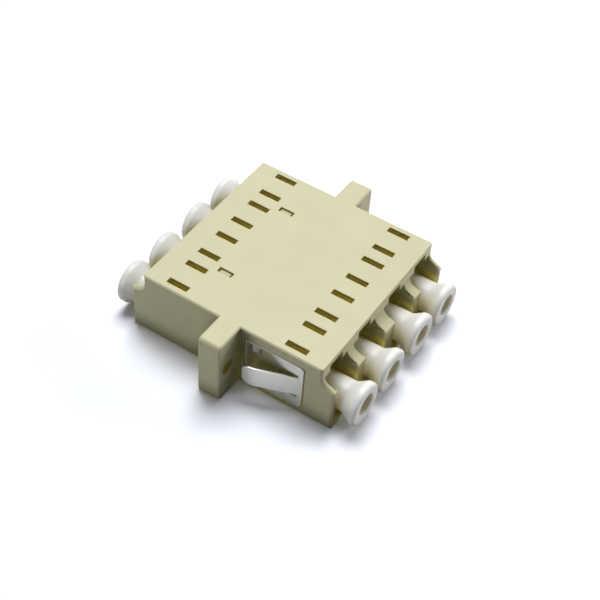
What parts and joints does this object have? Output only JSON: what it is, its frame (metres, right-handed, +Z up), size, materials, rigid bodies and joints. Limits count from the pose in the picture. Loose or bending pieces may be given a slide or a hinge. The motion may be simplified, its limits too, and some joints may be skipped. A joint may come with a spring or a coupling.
{
  "type": "fibre optic adapter",
  "caption": "Flanged fibre-optic adapter: a flat beige housing with a row of latching plug ports at each end, dust caps, sprung side clips and screw ears.",
  "frame": {"origin": "centre of the housing's flat underside, below the plane where the ferrules meet", "axes": "+X across the row of ports, +Y along the ports towards the back end, +Z up through the top face with the latch windows"},
  "size_m": [0.034, 0.0342, 0.0093],
  "materials": {
    "housing": "satin moulded",
    "carrier": "satin moulded",
    "clip": "satin rolled",
    "sleeve": "polished bronze",
    "cap": "satin moulded"
  },
  "bodies": {
    "adapter": {"housing": "housing", "sleeve_carrier_left": "carrier", "sleeve_carrier_right": "carrier", "alignment_sleeve_1": "sleeve", "alignment_sleeve_2": "sleeve", "alignment_sleeve_3": "sleeve", "alignment_sleeve_4": "sleeve", "panel_clip_left": "clip", "panel_clip_right": "clip"},
    "front_cap_1": {"dust_cap_front_1": "cap"},
    "front_cap_2": {"dust_cap_front_2": "cap"},
    "front_cap_3": {"dust_cap_front_3": "cap"},
    "front_cap_4": {"dust_cap_front_4": "cap"},
    "back_cap_1": {"dust_cap_back_1": "cap"},
    "back_cap_2": {"dust_cap_back_2": "cap"},
    "back_cap_3": {"dust_cap_back_3": "cap"},
    "back_cap_4": {"dust_cap_back_4": "cap"}
  },
  "joints": [
    {"name": "front_cap_1_pull", "type": "slide", "parent": "adapter", "child": "front_cap_1", "axis": [0, -1, 0], "range_m": [0, 0.014]},
    {"name": "front_cap_2_pull", "type": "slide", "parent": "adapter", "child": "front_cap_2", "axis": [0, -1, 0], "range_m": [0, 0.014]},
    {"name": "front_cap_3_pull", "type": "slide", "parent": "adapter", "child": "front_cap_3", "axis": [0, -1, 0], "range_m": [0, 0.014]},
    {"name": "front_cap_4_pull", "type": "slide", "parent": "adapter", "child": "front_cap_4", "axis": [0, -1, 0], "range_m": [0, 0.014]},
    {"name": "back_cap_1_pull", "type": "slide", "parent": "adapter", "child": "back_cap_1", "axis": [0, 1, 0], "range_m": [0, 0.014]},
    {"name": "back_cap_2_pull", "type": "slide", "parent": "adapter", "child": "back_cap_2", "axis": [0, 1, 0], "range_m": [0, 0.014]},
    {"name": "back_cap_3_pull", "type": "slide", "parent": "adapter", "child": "back_cap_3", "axis": [0, 1, 0], "range_m": [0, 0.014]},
    {"name": "back_cap_4_pull", "type": "slide", "parent": "adapter", "child": "back_cap_4", "axis": [0, 1, 0], "range_m": [0, 0.014]}
  ]
}
